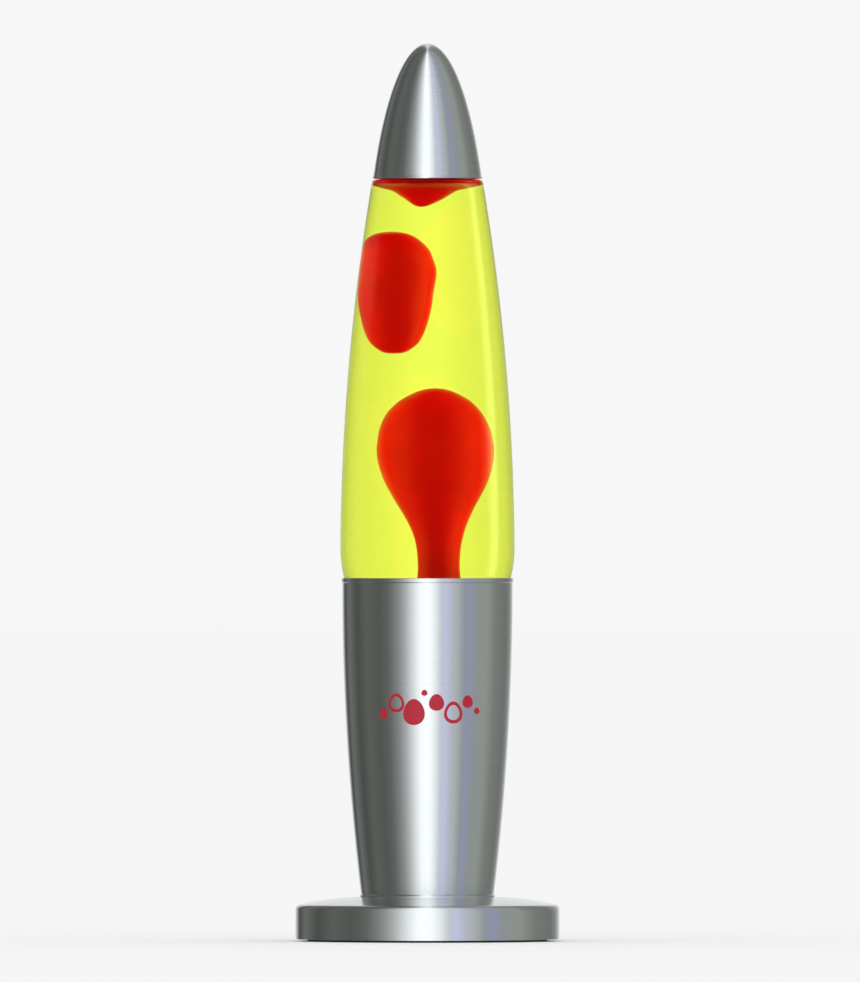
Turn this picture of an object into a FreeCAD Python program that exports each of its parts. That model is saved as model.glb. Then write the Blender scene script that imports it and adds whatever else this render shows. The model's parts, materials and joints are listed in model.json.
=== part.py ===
"""A rocket-style motion lamp: spun aluminium base, body and nose cap round a glass bottle of wax."""
import FreeCAD, Part

import math
import os

import Sketcher
from FreeCAD import Rotation, Vector

doc = FreeCAD.newDocument("motion_lamp")
sheet = doc.addObject("Spreadsheet::Sheet", "dims")

# Driving dimensions, in millimetres and degrees. The frame's origin is on the floor, on the lamp's
# axis, with +Z up and the lead's inlet towards +Y.
DIMENSIONS = {
    # base disc
    "disc_radius": 52.2,
    "disc_bottom": 0.8,
    "disc_shoulder": 12.6,
    "disc_edge_radius": 2.0,
    "disc_top": 17.4,
    "disc_flat_radius": 26.0,
    "disc_dome_radius": 106.0,
    "disc_wall": 1.5,
    "fit_gap": 0.05,
    "bore_radius": 5.2,
    "vent_radius": 3.0,
    "vent_circle": 17.5,
    "vent_count": 6,
    # ballast, cover, feet and screws
    "ballast_radius": 48.0,
    "ballast_bottom": 3.2,
    "ballast_top": 11.6,
    "ballast_boss_radius": 24.0,
    "ballast_boss_slope": 2.0,
    "ballast_chamfer": 1.0,
    "lead_channel_start": 27.0,
    "lead_channel_gap": 0.6,
    "nut_pocket_radius": 10.0,
    "nut_pocket_top": 8.5,
    "cover_radius": 50.3,
    "cover_bottom": 1.2,
    "cover_top": 3.2,
    "cover_chamfer": 0.5,
    "screw_circle": 31.0,
    "screw_count": 3,
    "screw_radius": 1.5,
    "screw_head_radius": 2.9,
    "screw_head_height": 1.0,
    "screw_depth": 6.0,
    "foot_circle": 42.0,
    "foot_count": 4,
    "foot_radius": 5.5,
    "foot_height": 1.8,
    "foot_gap": 0.1,
    # lead inlet
    "inlet_height": 8.0,
    "inlet_bore": 2.7,
    "grommet_neck": 3.6,
    "grommet_flange": 4.5,
    "grommet_lip": 0.9,
    "grommet_slack": 0.35,
    # threaded tube and its nuts
    "nipple_radius": 5.0,
    "nipple_bore": 3.5,
    "nipple_bottom": 3.9,
    "nipple_top": 26.0,
    "nut_across_flats": 14.0,
    "nut_height": 3.0,
    "washer_radius": 9.0,
    "washer_thickness": 0.8,
    # body shell
    "shell_floor": 17.4,
    "shell_floor_thickness": 1.2,
    "shell_foot_radius": 26.3,
    "shell_foot_flare": 26.7,
    "shell_wall": 0.9,
    "shell_corner": 1.0,
    "shell_belly_radius": 33.7,
    "shell_arc_radius": 1009.0,
    "rim_height": 143.6,
    "rim_radius": 34.0,
    "rim_depth": 1.6,
    "rim_wall": 0.65,
    "rim_step": 0.3,
    # bottle
    "bottle_bottom": 111.0,
    "bottle_foot_radius": 26.6,
    "bottle_corner_radius": 4.0,
    "bottle_wall": 2.5,
    "bottle_seat_radius": 33.61,
    "bottle_seat_height": 146.45,
    "bottle_seat_arc": 55.0,
    "bottle_belly_radius": 34.45,
    "bottle_belly_height": 156.0,
    "bottle_arc_radius": 912.0,
    "bottle_shoulder_radius": 21.93,
    "bottle_shoulder_height": 300.4,
    "bottle_shoulder_arc": 1.6,
    "shoulder_wall": 1.2,
    "neck_base_radius": 20.4,
    "neck_base_height": 301.1,
    "neck_radius": 11.6,
    "neck_height": 309.5,
    "neck_arc_radius": 9.0,
    "neck_inner_height": 310.5,
    "finish_radius": 13.0,
    "finish_height": 318.5,
    "finish_slope": 2.0,
    "finish_round": 1.5,
    "mouth_height": 324.0,
    "mouth_radius": 8.6,
    # liquid and wax
    "liquid_top": 306.0,
    "column_offset": 3.1,
    "column_top": 219.1,
    "column_crown_height": 209.2,
    "column_crown_radius": 13.0,
    "column_upper_height": 200.5,
    "column_upper_radius": 16.2,
    "column_upper_arc": 32.0,
    "column_lower_height": 190.0,
    "column_lower_radius": 16.6,
    "column_cheek_arc": 14.0,
    "column_taper_height": 176.5,
    "column_taper_radius": 12.0,
    "column_taper_arc": 35.7,
    "column_waist_height": 157.0,
    "column_waist_radius": 6.2,
    "column_foot_radius": 6.5,
    "column_flare_arc": 26.0,
    "pool_top": 124.0,
    "pool_radius": 20.5,
    "blob_offset": -10.4,
    "blob_bottom": 232.6,
    "blob_top": 280.6,
    "blob_radius": 12.3,
    "blob_lower_height": 250.0,
    "blob_upper_height": 268.0,
    "blob_side_arc": 60.0,
    "blob_clearance": 1.3,
    "blob_drop": 12.0,
    "blob_climb": 5.0,
    "channel_side_arc": 200.0,
    "drip_bottom": 290.3,
    "drip_radius": 5.4,
    "drip_height": 294.2,
    "drip_flare_radius": 10.5,
    "drip_flare_height": 298.3,
    "drip_flare_arc": 9.0,
    "wax_edge_height": 301.1,
    # wire coil in the bottom of the bottle
    "coil_radius": 22.4,
    "coil_wire": 0.7,
    "coil_pitch": 1.8,
    "coil_height": 2.9,
    "coil_rise": 1.1,
    "coil_bay_inner": 21.2,
    "coil_bay_height": 5.6,
    # crown cap
    "crown_radius": 14.5,
    "crown_skirt_bottom": 318.9,
    "crown_wall": 0.25,
    "crown_gap": 0.15,
    "crown_shoulder_drop": 0.6,
    "crown_shoulder_radius": 13.9,
    "crown_top_radius": 12.6,
    "crown_round": 2.1,
    "flute_count": 21,
    "flute_radius": 1.1,
    "flute_circle": 15.1,
    "liner_thickness": 0.7,
    "liner_radius": 12.2,
    # nose cap
    "cap_bottom": 301.4,
    "cap_top": 355.0,
    "cap_half_length": 106.9,
    "cap_half_width": 24.9,
    "cap_hem_radius": 21.75,
    "cap_hem_height": 1.4,
    "cap_hem_inner": 20.8,
    "cap_hem_round": 0.4,
    "cap_hem_taper": 0.35,
    "cap_hem_overlap": 0.02,
    "cap_wall": 0.8,
    # lamp holder
    "holder_bottom": 19.4,
    "holder_radius": 13.6,
    "holder_split": 36.0,
    "holder_top": 58.0,
    "holder_wall": 2.1,
    "holder_floor": 3.0,
    "holder_chamfer": 1.0,
    "holder_mouth_radius": 10.2,
    "holder_mouth_depth": 1.2,
    "collar_radius": 11.95,
    "collar_half_height": 1.4,
    "core_radius": 11.4,
    "core_bottom": 29.6,
    "core_floor": 32.0,
    "core_top": 53.5,
    "screw_shell_inner": 7.05,
    "screw_shell_wall": 0.4,
    "screw_shell_rim": 1.2,
    "screw_shell_top": 54.0,
    "contact_width": 4.0,
    "contact_thickness": 0.4,
    "contact_reach": 4.6,
    "contact_bend_low": 1.84,
    "contact_bend_high": 0.92,
    "contact_end": 2.3,
    "contact_gap": 0.1,
    "terminal_radius": 1.2,
    "terminal_head_radius": 2.1,
    "terminal_head_height": 1.3,
    "terminal_spread": 9.2,
    "terminal_length": 4.0,
    "terminal_count": 2,
    # bulb
    "bulb_contact_height": 34.6,
    "contact_button_radius": 2.3,
    "contact_button_height": 1.2,
    "contact_button_round": 0.6,
    "insulator_radius": 6.2,
    "insulator_height": 3.2,
    "insulator_face": 1.2,
    "screw_cap_radius": 6.95,
    "screw_cap_wall": 0.3,
    "screw_cap_height": 17.0,
    "screw_cap_chamfer": 1.0,
    "bulb_seal_radius": 6.6,
    "bulb_seal_bottom": 15.0,
    "bulb_seal_top": 20.0,
    "bulb_neck_radius": 8.8,
    "bulb_neck_bottom": 23.5,
    "bulb_neck_top": 29.0,
    "bulb_neck_taper": 0.8,
    "bulb_cone_radius": 18.6,
    "bulb_cone_height": 44.0,
    "bulb_head_radius": 19.5,
    "bulb_head_height": 48.0,
    "bulb_rim_round": 4.9,
    "bulb_length": 63.4,
    "bulb_wall": 0.7,
    "stem_bottom": 13.5,
    "stem_foot_radius": 5.85,
    "stem_radius": 3.4,
    "stem_lip": 0.5,
    "stem_flare": 0.6,
    "stem_flare_arc": 6.8,
    "stem_height": 30.0,
    "lead_radius": 0.35,
    "lead_foot": 1.8,
    "lead_length": 13.5,
    "lead_lean": 12.8,
    "filament_height": 44.2,
    "filament_radius": 0.7,
    "filament_wire": 0.16,
    "filament_pitch": 0.8,
    "filament_length": 9.6,
}


class Size:
    """A length that carries both its number and the sheet expression that drives it."""

    def __init__(self, number, text):
        self.number = number
        self.text = text

    def __add__(self, other):
        return combine(self, other, "+")

    def __sub__(self, other):
        return combine(self, other, "-")

    def __mul__(self, other):
        return combine(self, other, "*")

    def __truediv__(self, other):
        return combine(self, other, "/")

    def __neg__(self):
        return Size(-self.number, f"(0 - {self.text})")


def combine(left, right, sign):
    """Join two sizes, or a size and a plain number, by one arithmetic sign."""
    if not isinstance(right, Size):
        right = Size(float(right), f"({float(right)})")
    results = {
        "+": left.number + right.number,
        "-": left.number - right.number,
        "*": left.number * right.number,
        "/": left.number / right.number if right.number else 0.0,
    }
    return Size(results[sign], f"({left.text} {sign} {right.text})")


def fill_sheet():
    """Write every driving dimension into the sheet and name its cell."""
    for row, (alias, value) in enumerate(DIMENSIONS.items(), start=1):
        sheet.set(f"A{row}", alias)
        sheet.set(f"B{row}", str(value))
        sheet.setAlias(f"B{row}", alias)
    doc.recompute()


def dim(alias):
    """Return the sheet's value of one alias as a size."""
    return Size(float(sheet.get(alias)), f"dims.{alias}")


ZERO = Size(0.0, "0")
TOUCHING = 1e-6  # mm below which two points are one
SMALLEST_CUT = 0.5  # mm3 that a pocket has to remove
POLAR = "polar"  # an arc whose centre is on the Z axis, so that its surface is a sphere


def new_body(label):
    """Make an empty body whose label names the sub-part."""
    body = doc.addObject("PartDesign::Body", label)
    body.Label = label
    return body


def origin_part(body, role):
    """Find one of a body's origin planes or axes by its role."""
    return [item for item in body.Origin.OriginFeatures if item.Role == role][0]


def new_sketch(body, name, role):
    """Attach an empty sketch to one of the body's origin planes."""
    sketch = body.newObject("Sketcher::SketchObject", name)
    sketch.AttachmentSupport = (origin_part(body, role), [""])
    sketch.MapMode = "FlatFace"
    return sketch


def bind(sketch, constraint, size):
    """Add a dimension to a sketch and drive it from the sheet."""
    index = sketch.addConstraint(constraint)
    sketch.setExpression(f"Constraints[{index}]", size.text)


def pin(sketch, edge, end, across, along):
    """Hold one end or centre of a sketch edge at a place measured from the sketch's origin."""
    for kind, size, axis in (("DistanceX", across, -2), ("DistanceY", along, -1)):
        if size.number == 0.0:
            sketch.addConstraint(Sketcher.Constraint("PointOnObject", edge, end, axis))
        else:
            bind(sketch, Sketcher.Constraint(kind, -1, 1, edge, end, size.number), size)


def arc_through(start, end, radius):
    """Return the arc from start to end that bulges right of its travel, or left if radius < 0."""
    chord = end - start
    half = chord.Length / 2
    sagitta = abs(radius) - math.sqrt(max(radius * radius - half * half, 0.0))
    side = Vector(chord.y, -chord.x, 0).normalize() * math.copysign(sagitta, radius)
    return Part.Arc(start, start + chord * 0.5 + side, end)


def polar_arc(start, end):
    """Return the arc from start to end with its centre on the Z axis; one end is on the axis."""
    pole, rim = (start, end) if start.x == 0.0 else (end, start)
    rise = rim.y - pole.y
    radius = (rim.x * rim.x + rise * rise) / (2 * rise)
    centre = Vector(0, pole.y + radius, 0)
    middle = centre + ((start - centre) + (end - centre)).normalize() * abs(radius)
    return Part.Arc(start, middle, end)


def outline(sketch, corners):
    """Draw a closed outline; a corner is (x, y), or (x, y, arc) when an arc leads to it.

    The arc is its radius, negative when it bulges left of its travel, or POLAR.
    """
    points = [Vector(corner[0].number, corner[1].number, 0) for corner in corners]
    ends = []
    for index, corner in enumerate(corners):
        start = points[index - 1]
        end = points[index]
        if len(corner) == 2:
            edge = sketch.addGeometry(Part.LineSegment(start, end), False)
        elif corner[2] == POLAR:
            edge = sketch.addGeometry(polar_arc(start, end), False)
        else:
            edge = sketch.addGeometry(arc_through(start, end, corner[2].number), False)
        forward = sketch.getPoint(edge, 1).distanceToPoint(start) < TOUCHING
        ends.append((edge, 1, 2) if forward else (edge, 2, 1))
    for index, (edge, _, last) in enumerate(ends):
        following, first, _ = ends[(index + 1) % len(ends)]
        sketch.addConstraint(Sketcher.Constraint("Coincident", edge, last, following, first))
        pin(sketch, edge, last, corners[index][0], corners[index][1])
        arc = corners[index][2] if len(corners[index]) == 3 else None
        if arc == POLAR:
            sketch.addConstraint(Sketcher.Constraint("PointOnObject", edge, 3, -2))
        elif arc is not None:
            size = arc if arc.number > 0 else -arc
            bind(sketch, Sketcher.Constraint("Radius", edge, size.number), size)


def revolved(label, corners):
    """Spin a closed outline of radius and height once round the Z axis."""
    body = new_body(label)
    sketch = new_sketch(body, f"{label}_outline", "XZ_Plane")
    outline(sketch, corners)
    turn = body.newObject("PartDesign::Revolution", f"{label}_turn")
    turn.Profile = sketch
    turn.ReferenceAxis = (sketch, ["V_Axis"])
    turn.Angle = 360.0
    doc.recompute()
    return body


def box_corners(inner, outer, low, high):
    """The outline of a plain ring, from its radii and heights."""
    return [(inner, low), (outer, low), (outer, high), (inner, high)]


def circle_sketch(body, name, radius, across=ZERO, along=ZERO, role="XY_Plane"):
    """Draw one circle on an origin plane."""
    sketch = new_sketch(body, name, role)
    centre = Vector(across.number, along.number, 0)
    edge = sketch.addGeometry(Part.Circle(centre, Vector(0, 0, 1), radius.number), False)
    bind(sketch, Sketcher.Constraint("Radius", edge, radius.number), radius)
    pin(sketch, edge, 3, across, along)
    return sketch


def lift(sketch, height):
    """Raise a sketch above its plane."""
    sketch.setExpression(".AttachmentOffset.Base.z", height.text)


def pad(body, sketch, name, length, symmetric=False):
    """Extrude a sketch away from its plane."""
    feature = body.newObject("PartDesign::Pad", name)
    feature.Profile = sketch
    feature.Midplane = symmetric
    feature.setExpression("Length", length.text)
    doc.recompute()
    return feature


def pocket(body, sketch, name, symmetric=True):
    """Cut a sketch right through the body and make sure that it cuts something."""
    before = body.Shape.Volume
    feature = body.newObject("PartDesign::Pocket", name)
    feature.Profile = sketch
    feature.Type = "ThroughAll"
    feature.Midplane = symmetric
    doc.recompute()
    if body.Shape.Volume > before - SMALLEST_CUT:
        raise RuntimeError(f"{name} cuts nothing")
    return feature


def around(body, feature, name, count):
    """Repeat a feature evenly round the Z axis."""
    pattern = body.newObject("PartDesign::PolarPattern", name)
    pattern.Originals = [feature]
    pattern.Axis = (origin_part(body, "Z_Axis"), [""])
    pattern.Angle = 360.0
    pattern.setExpression("Occurrences", count.text)
    body.Tip = pattern
    doc.recompute()
    return pattern


def vents(body):
    """Cut the ring of air holes that the base and the body shell share."""
    sketch = circle_sketch(body, f"{body.Label}_vent", dim("vent_radius"), dim("vent_circle"))
    cut = pocket(body, sketch, f"{body.Label}_vent_cut")
    around(body, cut, f"{body.Label}_vents", dim("vent_count"))


def screw_holes(body, radius):
    """Cut the holes for the cover screws."""
    sketch = circle_sketch(body, f"{body.Label}_screw", radius, ZERO, -dim("screw_circle"))
    cut = pocket(body, sketch, f"{body.Label}_screw_cut")
    around(body, cut, f"{body.Label}_screws", dim("screw_count"))


def make_base_disc():
    """Spun disc: straight side, rounded edge, gently domed top with a flat centre."""
    wall = dim("disc_wall")
    radius = dim("disc_radius")
    edge = dim("disc_edge_radius")
    top = dim("disc_top")
    flat = dim("disc_flat_radius")
    shoulder = dim("disc_shoulder")
    dome = dim("disc_dome_radius")
    body = revolved("base_disc", [
        (radius - wall, dim("disc_bottom")),
        (radius, dim("disc_bottom")),
        (radius, shoulder),
        (radius - edge, shoulder + edge, edge),
        (flat, top, dome),
        (dim("bore_radius"), top),
        (dim("bore_radius"), top - wall),
        (flat, top - wall),
        (radius - edge, shoulder + edge - wall, -(dome - wall)),
        (radius - wall, shoulder, -(edge - wall)),
    ])
    vents(body)
    inlet = circle_sketch(body, "inlet_outline", dim("grommet_neck") + dim("fit_gap"),
                          ZERO, dim("inlet_height"), "XZ_Plane")
    pocket(body, inlet, "inlet_cut", symmetric=False)
    return body


def make_ballast():
    """Cast ring that fills the disc, with a boss under the centre and a pocket for the nut."""
    boss = dim("ballast_boss_radius")
    radius = dim("ballast_radius")
    chamfer = dim("ballast_chamfer")
    bottom = dim("ballast_bottom")
    top = dim("ballast_top")
    pocket_radius = dim("nut_pocket_radius")
    body = revolved("ballast_weight", [
        (pocket_radius, bottom),
        (radius - chamfer, bottom),
        (radius, bottom + chamfer),
        (radius, top),
        (boss + dim("ballast_boss_slope"), top),
        (boss, dim("disc_top") - dim("disc_wall")),
        (dim("bore_radius"), dim("disc_top") - dim("disc_wall")),
        (dim("bore_radius"), dim("nut_pocket_top")),
        (pocket_radius, dim("nut_pocket_top")),
    ])
    vents(body)
    screw_holes(body, dim("screw_radius") + dim("fit_gap"))
    relief = new_sketch(body, "lead_channel", "XY_Plane")
    half = dim("grommet_flange") + dim("lead_channel_gap")
    start = dim("lead_channel_start")
    outline(relief, [
        (-half, start),
        (half, start),
        (half, dim("disc_radius")),
        (-half, dim("disc_radius")),
    ])
    pocket(body, relief, "lead_channel_cut")
    return body


def make_base_cover():
    """Bottom cover: a flat disc with air holes, screw holes and a recess for each foot."""
    body = revolved("base_cover", [
        (ZERO, dim("cover_bottom")),
        (dim("cover_radius") - dim("cover_chamfer"), dim("cover_bottom")),
        (dim("cover_radius"), dim("cover_bottom") + dim("cover_chamfer")),
        (dim("cover_radius"), dim("cover_top")),
        (ZERO, dim("cover_top")),
    ])
    vents(body)
    screw_holes(body, dim("screw_radius") + dim("fit_gap"))
    recess = circle_sketch(body, "foot_recess", dim("foot_radius") + dim("foot_gap"),
                           dim("foot_circle"))
    lift(recess, dim("foot_height"))
    cut = body.newObject("PartDesign::Pocket", "foot_recess_cut")
    cut.Profile = recess
    cut.setExpression("Length", dim("foot_height").text)
    doc.recompute()
    around(body, cut, "foot_recesses", dim("foot_count"))
    return body


def make_cover_screws():
    """Pan-head screws from the cover into the ballast."""
    body = new_body("cover_screws")
    head_top = dim("cover_bottom")
    shank = circle_sketch(body, "shank_outline", dim("screw_radius"), ZERO, -dim("screw_circle"))
    lift(shank, head_top)
    first = pad(body, shank, "shank", dim("screw_depth"))
    head = circle_sketch(body, "head_outline", dim("screw_head_radius"),
                         ZERO, -dim("screw_circle"))
    lift(head, head_top - dim("screw_head_height"))
    second = pad(body, head, "head", dim("screw_head_height"))
    pattern = around(body, second, "all_screws", dim("screw_count"))
    pattern.Originals = [first, second]
    doc.recompute()
    return body


def make_rubber_feet():
    """Round pads in the cover's recesses."""
    body = new_body("rubber_feet")
    sketch = circle_sketch(body, "foot_outline", dim("foot_radius"), dim("foot_circle"))
    first = pad(body, sketch, "foot", dim("foot_height"))
    around(body, first, "all_feet", dim("foot_count"))
    return body


def make_cord_grommet():
    """Rubber bush clipped into the disc's rear wall, its bore along Y."""
    lip = dim("grommet_lip")
    flange = dim("grommet_flange")
    neck = dim("grommet_neck")
    bore = dim("inlet_bore")
    wall_inside = dim("disc_radius") - dim("disc_wall") - dim("grommet_slack")
    wall_outside = dim("disc_radius") + dim("fit_gap")
    body = new_body("cord_grommet")
    sketch = new_sketch(body, "grommet_outline", "XZ_Plane")
    outline(sketch, [
        (bore, wall_inside - lip * 2),
        (flange - lip, wall_inside - lip * 2),
        (flange, wall_inside - lip),
        (flange, wall_inside),
        (neck, wall_inside),
        (neck, wall_outside),
        (flange, wall_outside),
        (flange - lip, wall_outside + lip),
        (bore, wall_outside + lip),
    ])
    turn = body.newObject("PartDesign::Revolution", "grommet_turn")
    turn.Profile = sketch
    turn.ReferenceAxis = (sketch, ["V_Axis"])
    turn.Angle = 360.0
    body.Placement = FreeCAD.Placement(Vector(0, 0, 0), Rotation(Vector(1, 0, 0), -90))
    body.setExpression(".Placement.Base.z", dim("inlet_height").text)
    doc.recompute()
    return body


def make_tube(label, inner, outer, low, high):
    """A plain ring or tube."""
    return revolved(label, box_corners(inner, outer, low, high))


def make_nipple_nut():
    """Hexagon nut that clamps the ballast, the disc and the body shell."""
    body = new_body("nipple_nut")
    sketch = new_sketch(body, "nut_outline", "XY_Plane")
    corner = dim("nut_across_flats") * (1 / math.sqrt(3))
    flat = dim("nut_across_flats") * 0.5
    outline(sketch, [
        (corner, ZERO),
        (corner * 0.5, flat),
        (-(corner * 0.5), flat),
        (-corner, ZERO),
        (-(corner * 0.5), -flat),
        (corner * 0.5, -flat),
    ])
    lift(sketch, dim("nut_pocket_top") - dim("washer_thickness") - dim("nut_height"))
    pad(body, sketch, "nut_block", dim("nut_height"))
    bore = circle_sketch(body, "nut_bore", dim("nipple_radius"))
    pocket(body, bore, "nut_bore_cut")
    return body


def make_body_shell():
    """Spun shell that flares from its foot to a rolled rim; its floor is clamped to the disc."""
    wall = dim("shell_wall")
    floor = dim("shell_floor")
    thick = dim("shell_floor_thickness")
    foot = dim("shell_foot_radius")
    belly = dim("shell_belly_radius")
    arc = dim("shell_arc_radius")
    rim = dim("rim_radius")
    rim_top = dim("rim_height")
    rim_low = rim_top - dim("rim_depth")
    rim_inner = rim - dim("rim_wall")
    step = dim("rim_step")
    corner = dim("shell_corner")
    body = revolved("body_shell", [
        (dim("bore_radius"), floor),
        (dim("shell_foot_flare"), floor),
        (dim("shell_foot_flare"), floor + thick * 0.5),
        (foot, floor + thick),
        (belly, rim_low - step, arc),
        (rim, rim_low),
        (rim, rim_top - step),
        (rim - step, rim_top, step),
        (rim_inner, rim_top),
        (rim_inner, rim_low),
        (belly - wall, rim_low - step * 2),
        (foot - wall, floor + thick + corner, -(arc - wall)),
        (foot - wall - corner, floor + thick, -corner),
        (dim("bore_radius"), floor + thick),
    ])
    vents(body)
    return body


def bottle_side(inset):
    """The bottle's long side from belly to shoulder, moved inwards by the wall's thickness."""
    return [
        (dim("bottle_seat_radius") - inset, dim("bottle_seat_height")),
        (dim("bottle_belly_radius") - inset, dim("bottle_belly_height"),
         dim("bottle_seat_arc") - inset),
        (dim("bottle_shoulder_radius") - inset, dim("bottle_shoulder_height"),
         dim("bottle_arc_radius") - inset),
    ]


def make_globe_bottle():
    """Blown bottle: tapered foot, long ogive side thinning to its shoulder, crown finish."""
    wall = dim("bottle_wall")
    bottom = dim("bottle_bottom")
    foot = dim("bottle_foot_radius")
    corner = dim("bottle_corner_radius")
    neck = dim("neck_radius")
    neck_arc = dim("neck_arc_radius")
    finish = dim("finish_radius")
    lip = dim("finish_round")
    top = dim("mouth_height")
    mouth = dim("mouth_radius")
    outside = [
        (ZERO, bottom),
        (foot - corner, bottom),
        (foot, bottom + corner, corner),
    ]
    outside += bottle_side(ZERO)
    outside += [
        (dim("neck_base_radius"), dim("neck_base_height"), dim("bottle_shoulder_arc")),
        (neck, dim("neck_height"), -neck_arc),
        (neck, dim("finish_height") - dim("finish_slope")),
        (finish, dim("finish_height")),
        (finish, top - lip),
        (finish - lip, top, lip),
        (mouth, top),
    ]
    thin = dim("shoulder_wall")
    inside = [
        (mouth, dim("neck_inner_height")),
        (dim("neck_base_radius") - thin * 0.5, dim("neck_base_height") - thin, neck_arc + wall),
        (dim("bottle_shoulder_radius") - thin, dim("bottle_shoulder_height") - thin, -thin),
        (dim("bottle_belly_radius") - wall, dim("bottle_belly_height"),
         -(dim("bottle_arc_radius") - wall)),
        (dim("bottle_seat_radius") - wall, dim("bottle_seat_height"),
         -(dim("bottle_seat_arc") - wall)),
        (foot - wall, bottom + corner),
        (foot - corner, bottom + wall, -(corner - wall)),
        (ZERO, bottom + wall),
    ]
    return revolved("globe_bottle", outside + inside)


def make_bottle_inside():
    """The whole space inside the bottle, used to shape the liquid and the wax."""
    wall = dim("bottle_wall")
    bottom = dim("bottle_bottom")
    foot = dim("bottle_foot_radius")
    corner = dim("bottle_corner_radius")
    mouth = dim("mouth_radius")
    thin = dim("shoulder_wall")
    return revolved("bottle_inside", [
        (ZERO, bottom + wall),
        (foot - corner, bottom + wall),
        (foot - wall, bottom + corner, corner - wall),
        (dim("bottle_seat_radius") - wall, dim("bottle_seat_height")),
        (dim("bottle_belly_radius") - wall, dim("bottle_belly_height"),
         dim("bottle_seat_arc") - wall),
        (dim("bottle_shoulder_radius") - thin, dim("bottle_shoulder_height") - thin,
         dim("bottle_arc_radius") - wall),
        (dim("neck_base_radius") - thin * 0.5, dim("neck_base_height") - thin, thin),
        (mouth, dim("neck_inner_height"), -(dim("neck_arc_radius") + wall)),
        (mouth, dim("mouth_height")),
        (ZERO, dim("mouth_height")),
    ])


def boolean(kind, label, base, tool):
    """Combine two shapes with a Part boolean and keep the result under its own label."""
    result = doc.addObject(kind, label)
    result.Label = label
    result.Base = base
    result.Tool = tool
    doc.recompute()
    return result


def cylinder(label, radius, low, high):
    """A plain upright cylinder between two heights."""
    rod = doc.addObject("Part::Cylinder", label)
    rod.setExpression("Radius", radius.text)
    rod.setExpression("Height", (high - low).text)
    rod.setExpression(".Placement.Base.z", low.text)
    doc.recompute()
    return rod


def make_column_form():
    """The rising wax: a light-bulb outline over a waist that flares into the pool."""
    body = revolved("column_form", [
        (ZERO, dim("bottle_bottom")),
        (dim("pool_radius"), dim("bottle_bottom")),
        (dim("pool_radius"), dim("pool_top")),
        (dim("column_foot_radius"), dim("rim_height"), -dim("column_flare_arc")),
        (dim("column_waist_radius"), dim("column_waist_height")),
        (dim("column_taper_radius"), dim("column_taper_height"), -dim("column_taper_arc")),
        (dim("column_lower_radius"), dim("column_lower_height")),
        (dim("column_upper_radius"), dim("column_upper_height"), dim("column_cheek_arc")),
        (dim("column_crown_radius"), dim("column_crown_height"), dim("column_upper_arc")),
        (ZERO, dim("column_top"), POLAR),
    ])
    body.setExpression(".Placement.Base.x", dim("column_offset").text)
    doc.recompute()
    return body


def blob_outline(label, grow, drop, climb, side_arc):
    """The loose blob, or the channel that it drifts in."""
    body = revolved(label, [
        (ZERO, dim("blob_bottom") - grow - drop),
        (dim("blob_radius") + grow, dim("blob_lower_height") - drop, POLAR),
        (dim("blob_radius") + grow, dim("blob_upper_height") + climb, side_arc),
        (ZERO, dim("blob_top") + grow + climb, POLAR),
    ])
    body.setExpression(".Placement.Base.x", dim("blob_offset").text)
    doc.recompute()
    return body


def make_top_form():
    """Everything above the underside of the wax under the cap, with its hanging drip."""
    wide = dim("bottle_belly_radius")
    return revolved("top_form", [
        (ZERO, dim("drip_bottom")),
        (dim("drip_radius"), dim("drip_height"), POLAR),
        (dim("drip_flare_radius"), dim("drip_flare_height"), -dim("drip_flare_arc")),
        (wide, dim("wax_edge_height")),
        (wide, dim("liquid_top")),
        (ZERO, dim("liquid_top")),
    ])


def make_bottle_contents():
    """Wax, liquid and the wire coil, all cut to fit one another inside the bottle."""
    inside = make_bottle_inside()
    floor = dim("bottle_bottom") + dim("bottle_wall")
    wide = dim("bottle_belly_radius")

    bay_block = cylinder("bay_block", wide, floor, floor + dim("coil_bay_height"))
    bay_core = cylinder("bay_core", dim("coil_bay_inner"), floor, floor + dim("coil_bay_height"))
    coil_bay = boolean("Part::Cut", "coil_bay", bay_block, bay_core)

    pool_slab = cylinder("pool_slab", wide, dim("bottle_bottom"), dim("pool_top"))
    wax_form = boolean("Part::Fuse", "wax_form", make_column_form(), pool_slab)
    wax_held = boolean("Part::Common", "wax_held", wax_form, inside)
    column = boolean("Part::Cut", "wax_column", wax_held, coil_bay)

    top_form = make_top_form()
    top_pool = boolean("Part::Common", "wax_top_pool", top_form, inside)

    blob = blob_outline("wax_blob", ZERO, ZERO, ZERO, dim("blob_side_arc"))
    channel = blob_outline("blob_channel", dim("blob_clearance"), dim("blob_drop"),
                           dim("blob_climb"), dim("channel_side_arc"))
    fill = cylinder("liquid_slab", wide, dim("bottle_bottom"), dim("liquid_top"))
    filled = boolean("Part::Common", "liquid_filled", inside, fill)
    below = boolean("Part::Cut", "liquid_below_wax", filled, top_form)
    around_wax = boolean("Part::Cut", "liquid_round_wax", below, wax_form)
    liquid = boolean("Part::Cut", "liquid", around_wax, channel)
    return [column, top_pool, blob, liquid, make_wire_coil(floor)]


def helix(label, radius, wire, pitch, height, low):
    """A round wire wound round the Z axis."""
    body = new_body(label)
    sketch = circle_sketch(body, f"{label}_section", wire, radius, low, "XZ_Plane")
    coil = body.newObject("PartDesign::AdditiveHelix", f"{label}_turns")
    coil.Profile = sketch
    coil.ReferenceAxis = (sketch, ["V_Axis"])
    coil.Mode = "pitch-height-angle"
    coil.setExpression("Pitch", pitch.text)
    coil.setExpression("Height", height.text)
    doc.recompute()
    return body


def make_wire_coil(floor):
    """Steel wire wound along the bottle's inside corner."""
    return helix("wire_coil", dim("coil_radius"), dim("coil_wire"), dim("coil_pitch"),
                 dim("coil_height"), floor + dim("coil_rise"))


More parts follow.
